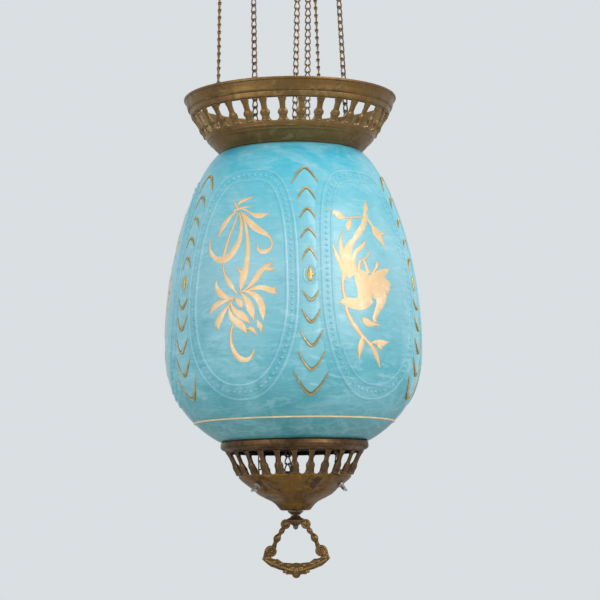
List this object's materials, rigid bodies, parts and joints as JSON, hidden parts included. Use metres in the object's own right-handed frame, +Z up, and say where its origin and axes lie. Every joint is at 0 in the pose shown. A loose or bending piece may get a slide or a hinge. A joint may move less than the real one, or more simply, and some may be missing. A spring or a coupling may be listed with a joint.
{
  "type": "pull-down hall lamp",
  "caption": "Pendant lamp: an opal glass shade between a flared pierced brass crown and a pierced bowl, hung on ladder chains over pulleys from a forked hub, with a pull ring below.",
  "frame": {"origin": "the point at the top of the hanger loop's bore where the ceiling hook bears", "axes": "+Z up along the lamp's axis, -Y towards the front of the pictured lamp, +X to its right"},
  "size_m": [0.2162, 0.2162, 0.6337],
  "materials": {
    "brass": "aged, brown-olive with worn highlights",
    "dark_brass": "dark, tarnished",
    "gilt_brass": "reddish gilt, worn",
    "chain_brass": "aged, brown",
    "steel": "dull",
    "opal_glass": "opal, turquoise with gilt ornament",
    "wax": "waxy",
    "cotton": "charred wick"
  },
  "bodies": {
    "frame": {"hanger_loop": "brass", "pulley_frame": "brass", "axle_pin_1": "steel", "axle_pin_2": "steel", "axle_pin_3": "steel", "chain_wrap_1": "chain_brass", "chain_wrap_2": "chain_brass", "chain_wrap_3": "chain_brass", "outer_chain_1": "chain_brass", "outer_chain_2": "chain_brass", "outer_chain_3": "chain_brass", "inner_chain_1": "chain_brass", "inner_chain_2": "chain_brass", "inner_chain_3": "chain_brass"},
    "crown": {"crown": "brass", "crown_hook_1": "brass", "crown_hook_2": "brass", "crown_hook_3": "brass", "shade_clip_1": "brass", "shade_clip_2": "brass", "shade_clip_3": "brass", "glass_shade": "opal_glass"},
    "bowl": {"bowl": "brass", "chain_strap_1": "brass", "chain_strap_2": "brass", "chain_strap_3": "brass", "center_rod": "dark_brass", "rod_nut": "steel", "neck_nut": "dark_brass", "candle_cup": "brass", "drip_pan": "brass"},
    "candle": {"candle": "wax", "wick": "cotton"},
    "ring": {"pull_ring": "gilt_brass"},
    "pulley_1": {"pulley_1": "brass"},
    "pulley_2": {"pulley_2": "brass"},
    "pulley_3": {"pulley_3": "brass"},
    "thumb_screw_1": {"thumb_screw_1": "steel"},
    "thumb_screw_2": {"thumb_screw_2": "steel"},
    "thumb_screw_3": {"thumb_screw_3": "steel"}
  },
  "joints": [
    {"name": "crown_rise", "type": "slide", "parent": "frame", "child": "crown", "axis": [0, 0, 1], "range_m": [0, 0.09], "deforming": ["outer_chain_1", "outer_chain_2", "outer_chain_3"]},
    {"name": "bowl_drop", "type": "slide", "parent": "frame", "child": "bowl", "axis": [0, 0, -1], "range_m": [0, 0.09], "deforming": ["inner_chain_1", "inner_chain_2", "inner_chain_3"]},
    {"name": "pulley_1_spin", "type": "hinge", "parent": "frame", "child": "pulley_1", "pos_m": [-0.04333, -0.00921, -0.075], "axis": [-0.2079, 0.9781, 0], "range_deg": [0, 377]},
    {"name": "pulley_2_spin", "type": "hinge", "parent": "frame", "child": "pulley_2", "pos_m": [0.02964, -0.03292, -0.075], "axis": [-0.7431, -0.6691, 0], "range_deg": [0, 377]},
    {"name": "pulley_3_spin", "type": "hinge", "parent": "frame", "child": "pulley_3", "pos_m": [0.01369, 0.04213, -0.075], "axis": [0.9511, -0.309, 0], "range_deg": [0, 377]},
    {"name": "ring_swivel", "type": "hinge", "parent": "bowl", "child": "ring", "pos_m": [0, 0, -0.58], "axis": [0, 0, 1], "continuous": true},
    {"name": "candle_lift", "type": "slide", "parent": "bowl", "child": "candle", "axis": [0, 0, 1], "range_m": [0, 0.03]},
    {"name": "thumb_screw_1_turn", "type": "hinge", "parent": "bowl", "child": "thumb_screw_1", "pos_m": [-0.03045, -0.02555, -0.5515], "axis": [-0.4759, -0.3993, -0.7836], "range_deg": [0, 360]},
    {"name": "thumb_screw_2_turn", "type": "hinge", "parent": "bowl", "child": "thumb_screw_2", "pos_m": [0.03735, -0.01359, -0.5515], "axis": [0.5838, -0.2125, -0.7836], "range_deg": [0, 360]},
    {"name": "thumb_screw_3_turn", "type": "hinge", "parent": "bowl", "child": "thumb_screw_3", "pos_m": [-0.0069, 0.03915, -0.5515], "axis": [-0.1079, 0.6118, -0.7836], "range_deg": [0, 360]}
  ],
  "couplings": [
    {"joint": "bowl_drop", "follows": "crown_rise", "ratio": 1},
    {"joint": "pulley_1_spin", "follows": "crown_rise", "rad_per_m": 72.993},
    {"joint": "pulley_2_spin", "follows": "crown_rise", "rad_per_m": 72.993},
    {"joint": "pulley_3_spin", "follows": "crown_rise", "rad_per_m": 72.993}
  ]
}
